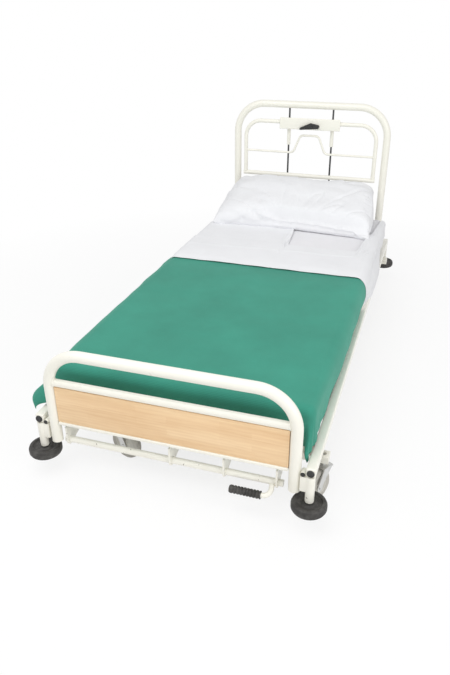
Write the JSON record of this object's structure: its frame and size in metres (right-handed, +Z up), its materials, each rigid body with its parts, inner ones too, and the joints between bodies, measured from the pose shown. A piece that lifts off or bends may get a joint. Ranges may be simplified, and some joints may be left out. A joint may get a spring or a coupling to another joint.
{
  "type": "hospital bed",
  "caption": "Height-adjustable hospital bed with tubular hoop ends, castors, corner bumper rollers, foot pedal, sliding head frame and made-up bedding.",
  "frame": {"origin": "on the floor under the middle of the bed", "axes": "+Z up, +Y from the foot end to the head end, +X to the right seen from the foot"},
  "size_m": [1.084, 2.309, 0.997],
  "materials": {
    "cream_enamel": "semi-gloss enamel",
    "beech_laminate": "satin laminate",
    "black_rubber": "matte",
    "black_plastic": "satin",
    "grey_tyre": "matte",
    "grey_hub": "satin",
    "bright_steel": "plated",
    "dark_steel": "blackened",
    "white_cotton": "plain weave",
    "mattress_cover": "fitted sheet",
    "green_blanket": "brushed wool"
  },
  "bodies": {
    "chassis": {"chassis_rail_left": "cream_enamel", "chassis_rail_right": "cream_enamel", "chassis_beam_foot": "cream_enamel", "chassis_beam_head": "cream_enamel", "pump_unit": "cream_enamel"},
    "castor_foot_left": {"castor_fork_foot_left": "bright_steel"},
    "wheel_foot_left": {"wheel_hub_foot_left": "grey_hub", "wheel_tyre_foot_left": "grey_tyre"},
    "castor_foot_right": {"castor_fork_foot_right": "bright_steel"},
    "wheel_foot_right": {"wheel_hub_foot_right": "grey_hub", "wheel_tyre_foot_right": "grey_tyre"},
    "castor_head_left": {"castor_fork_head_left": "bright_steel"},
    "wheel_head_left": {"wheel_hub_head_left": "grey_hub", "wheel_tyre_head_left": "grey_tyre"},
    "castor_head_right": {"castor_fork_head_right": "bright_steel"},
    "wheel_head_right": {"wheel_hub_head_right": "grey_hub", "wheel_tyre_head_right": "grey_tyre"},
    "foot_arms": {"lift_arms_foot": "cream_enamel"},
    "head_arms": {"lift_arms_head": "cream_enamel"},
    "ram": {"ram_rod": "bright_steel"},
    "pedal": {"pedal_bar": "cream_enamel", "pedal_grip": "black_rubber"},
    "bed_frame": {"foot_hoop": "cream_enamel", "foot_mid_rail": "cream_enamel", "foot_panel": "beech_laminate", "panel_trim": "cream_enamel", "head_hoop": "cream_enamel", "guide_rod_seat": "cream_enamel", "guide_rod_left": "dark_steel", "guide_rod_right": "dark_steel", "side_rail_left": "cream_enamel", "side_rail_right": "cream_enamel", "deck_section_foot": "cream_enamel", "deck_section_middle": "cream_enamel", "deck_section_head": "cream_enamel", "mattress": "mattress_cover", "green_blanket": "green_blanket", "turned_sheet": "white_cotton", "pillow": "white_cotton", "corner_post_foot_left": "cream_enamel", "bumper_nut_foot_left": "bright_steel", "rail_plug_foot_left": "black_plastic", "corner_post_foot_right": "cream_enamel", "bumper_nut_foot_right": "bright_steel", "rail_plug_foot_right": "black_plastic", "corner_post_head_left": "cream_enamel", "bumper_nut_head_left": "bright_steel", "rail_plug_head_left": "black_plastic", "corner_post_head_right": "cream_enamel", "bumper_nut_head_right": "bright_steel", "rail_plug_head_right": "black_plastic"},
    "bumper_foot_left": {"bumper_foot_left": "black_rubber"},
    "bumper_foot_right": {"bumper_foot_right": "black_rubber"},
    "bumper_head_left": {"bumper_head_left": "black_rubber"},
    "bumper_head_right": {"bumper_head_right": "black_rubber"},
    "head_slide": {"head_slide_frame": "cream_enamel", "slide_cover_plate": "cream_enamel", "lever_pin": "bright_steel"},
    "lever": {"release_lever": "black_plastic"}
  },
  "joints": [
    {"name": "swivel_foot_left", "type": "hinge", "parent": "chassis", "child": "castor_foot_left", "pos_m": [-0.269, -0.935, 0.15], "axis": [0, 0, 1], "continuous": true},
    {"name": "spin_foot_left", "type": "hinge", "parent": "castor_foot_left", "child": "wheel_foot_left", "pos_m": [-0.23519, -0.94406, 0.0625], "axis": [0.2588, 0.9659, 0], "continuous": true},
    {"name": "swivel_foot_right", "type": "hinge", "parent": "chassis", "child": "castor_foot_right", "pos_m": [0.497, -0.935, 0.15], "axis": [0, 0, 1], "continuous": true},
    {"name": "spin_foot_right", "type": "hinge", "parent": "castor_foot_right", "child": "wheel_foot_right", "pos_m": [0.4795, -0.96531, 0.0625], "axis": [0.866, -0.5, 0], "continuous": true},
    {"name": "swivel_head_left", "type": "hinge", "parent": "chassis", "child": "castor_head_left", "pos_m": [-0.269, 0.935, 0.15], "axis": [0, 0, 1], "continuous": true},
    {"name": "spin_head_left", "type": "hinge", "parent": "castor_head_left", "child": "wheel_head_left", "pos_m": [-0.25703, 0.96789, 0.0625], "axis": [-0.9397, 0.342, 0], "continuous": true},
    {"name": "swivel_head_right", "type": "hinge", "parent": "chassis", "child": "castor_head_right", "pos_m": [0.269, 0.935, 0.15], "axis": [0, 0, 1], "continuous": true},
    {"name": "spin_head_right", "type": "hinge", "parent": "castor_head_right", "child": "wheel_head_right", "pos_m": [0.24893, 0.96367, 0.0625], "axis": [-0.8192, -0.5736, 0], "continuous": true},
    {"name": "bumper_spin_foot_left", "type": "hinge", "parent": "bed_frame", "child": "bumper_foot_left", "pos_m": [-0.483, -1.0955, 0.09], "axis": [0, 0, 1], "continuous": true},
    {"name": "bumper_spin_foot_right", "type": "hinge", "parent": "bed_frame", "child": "bumper_foot_right", "pos_m": [0.483, -1.0955, 0.09], "axis": [0, 0, 1], "continuous": true},
    {"name": "bumper_spin_head_left", "type": "hinge", "parent": "bed_frame", "child": "bumper_head_left", "pos_m": [-0.483, 1.0955, 0.09], "axis": [0, 0, 1], "continuous": true},
    {"name": "bumper_spin_head_right", "type": "hinge", "parent": "bed_frame", "child": "bumper_head_right", "pos_m": [0.483, 1.0955, 0.09], "axis": [0, 0, 1], "continuous": true},
    {"name": "lift", "type": "hinge", "parent": "chassis", "child": "foot_arms", "pos_m": [0, -0.15002, 0.165], "axis": [-1, 0, 0], "range_deg": [0, 48]},
    {"name": "frame_level", "type": "hinge", "parent": "foot_arms", "child": "bed_frame", "pos_m": [0, -0.649, 0.197], "axis": [-1, 0, 0], "range_deg": [-48, 0]},
    {"name": "head_arm_swing", "type": "hinge", "parent": "chassis", "child": "head_arms", "pos_m": [0, 0.75001, 0.165], "axis": [-1, 0, 0], "range_deg": [0, 48]},
    {"name": "ram_pull", "type": "slide", "parent": "chassis", "child": "ram", "axis": [0, -1, 0], "range_m": [0, 0.05695]},
    {"name": "pedal_swing", "type": "hinge", "parent": "chassis", "child": "pedal", "pos_m": [0, -1.07, 0.134], "axis": [1, 0, 0], "range_deg": [-20, 30], "stiffness_Nm_per_rad": 25},
    {"name": "head_frame_slide", "type": "slide", "parent": "bed_frame", "child": "head_slide", "axis": [0, 0, 1], "range_m": [-0.15, 0.045]},
    {"name": "lever_turn", "type": "hinge", "parent": "head_slide", "child": "lever", "pos_m": [0.012, 1.04, 0.868], "axis": [0, 1, 0], "range_deg": [0, 22], "stiffness_Nm_per_rad": 0.6}
  ],
  "couplings": [
    {"joint": "frame_level", "follows": "lift", "ratio": -1},
    {"joint": "head_arm_swing", "follows": "lift", "ratio": 1},
    {"joint": "ram_pull", "follows": "lift", "m_per_rad": 0.067971}
  ]
}
